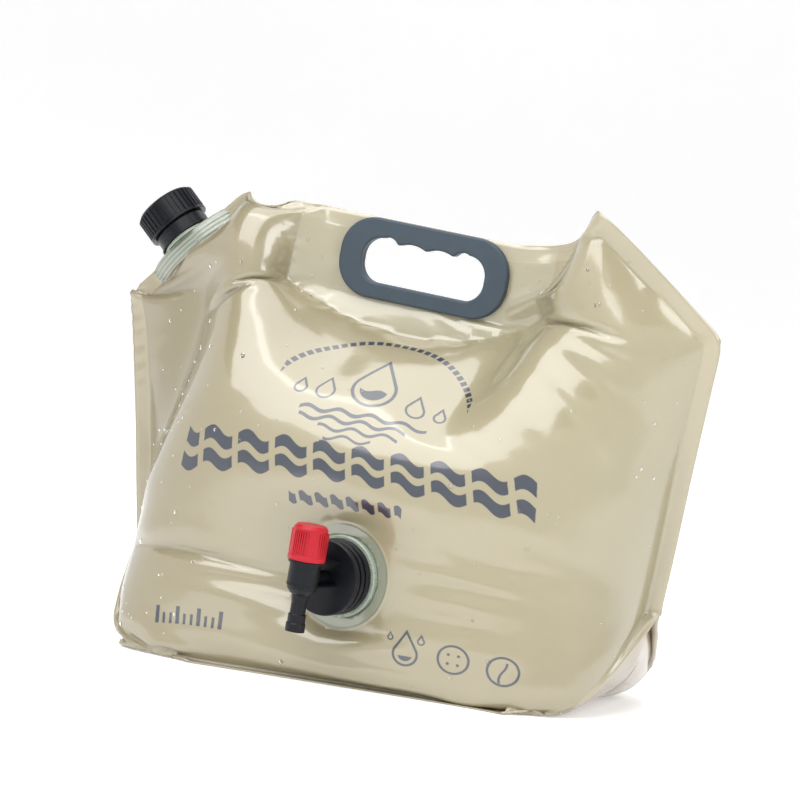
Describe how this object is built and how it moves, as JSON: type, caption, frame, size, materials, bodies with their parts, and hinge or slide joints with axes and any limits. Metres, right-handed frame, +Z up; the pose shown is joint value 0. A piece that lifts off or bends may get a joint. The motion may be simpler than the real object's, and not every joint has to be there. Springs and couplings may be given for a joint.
{
  "type": "folding water bag",
  "caption": "Soft foldable stand-up water bag with a finger-grip handle set in its top edge, a screw-capped corner spout and a swivelling front tap.",
  "frame": {"origin": "on the ground, under the middle of the welded seam plane, at the centre of the flat bottom", "axes": "+X to the right seen from the tap side, +Y to the rear, away from the tap, +Z up"},
  "size_m": [0.3852, 0.2156, 0.2832],
  "materials": {
    "film": "glossy, slightly translucent laminated film",
    "handle": "satin moulded plastic",
    "fitment": "translucent natural polyethylene",
    "black_gloss": "glossy moulded plastic",
    "tap_black": "semi-gloss moulded plastic",
    "knob_red": "semi-gloss moulded plastic",
    "seal": "soft matte rubber"
  },
  "bodies": {
    "root": {"front_panel": "film", "rear_panel": "film", "bottom_gusset": "film", "handle_front": "handle", "handle_rear": "handle", "spout_fitment": "fitment", "tamper_ring": "black_gloss"},
    "cap_lift": {"cap_liner": "seal"},
    "cap": {"spout_cap": "black_gloss"},
    "tap_base": {"tap_flange": "fitment", "gland_gasket": "seal", "tap_gland": "black_gloss"},
    "tap": {"tap_body": "tap_black", "tap_bonnet": "tap_black", "inlet_o_ring": "seal", "stem_o_ring": "seal"},
    "valve": {"valve_washer": "seal"},
    "knob": {"valve_stem": "tap_black", "tap_knob": "knob_red"}
  },
  "joints": [
    {"name": "cap_rise", "type": "slide", "parent": "root", "child": "cap_lift", "axis": [-0.7071, 0, 0.7071], "range_m": [0, 0.018]},
    {"name": "cap_turn", "type": "hinge", "parent": "cap_lift", "child": "cap", "pos_m": [-0.159, 0, 0.249], "axis": [-0.7071, 0, 0.7071], "range_deg": [0, 1445]},
    {"name": "bag_collapse", "type": "slide", "parent": "root", "child": "tap_base", "axis": [0, 1, 0], "range_m": [0, 0.06], "deforming": ["front_panel", "rear_panel", "bottom_gusset"]},
    {"name": "tap_swivel", "type": "hinge", "parent": "tap_base", "child": "tap", "pos_m": [0, -0.0803, 0.065], "axis": [-0.1392, -0.9903, 0], "continuous": true},
    {"name": "valve_rise", "type": "slide", "parent": "tap", "child": "valve", "axis": [0.0691, -0.0097, 0.9976], "range_m": [0, 0.0025]},
    {"name": "knob_turn", "type": "hinge", "parent": "valve", "child": "knob", "pos_m": [-0.00612, -0.12387, 0.065], "axis": [0.0691, -0.0097, 0.9976], "range_deg": [0, 455]}
  ],
  "couplings": [
    {"joint": "cap_turn", "follows": "cap_rise", "rad_per_m": 1396.3},
    {"joint": "knob_turn", "follows": "valve_rise", "rad_per_m": 3141.6}
  ]
}
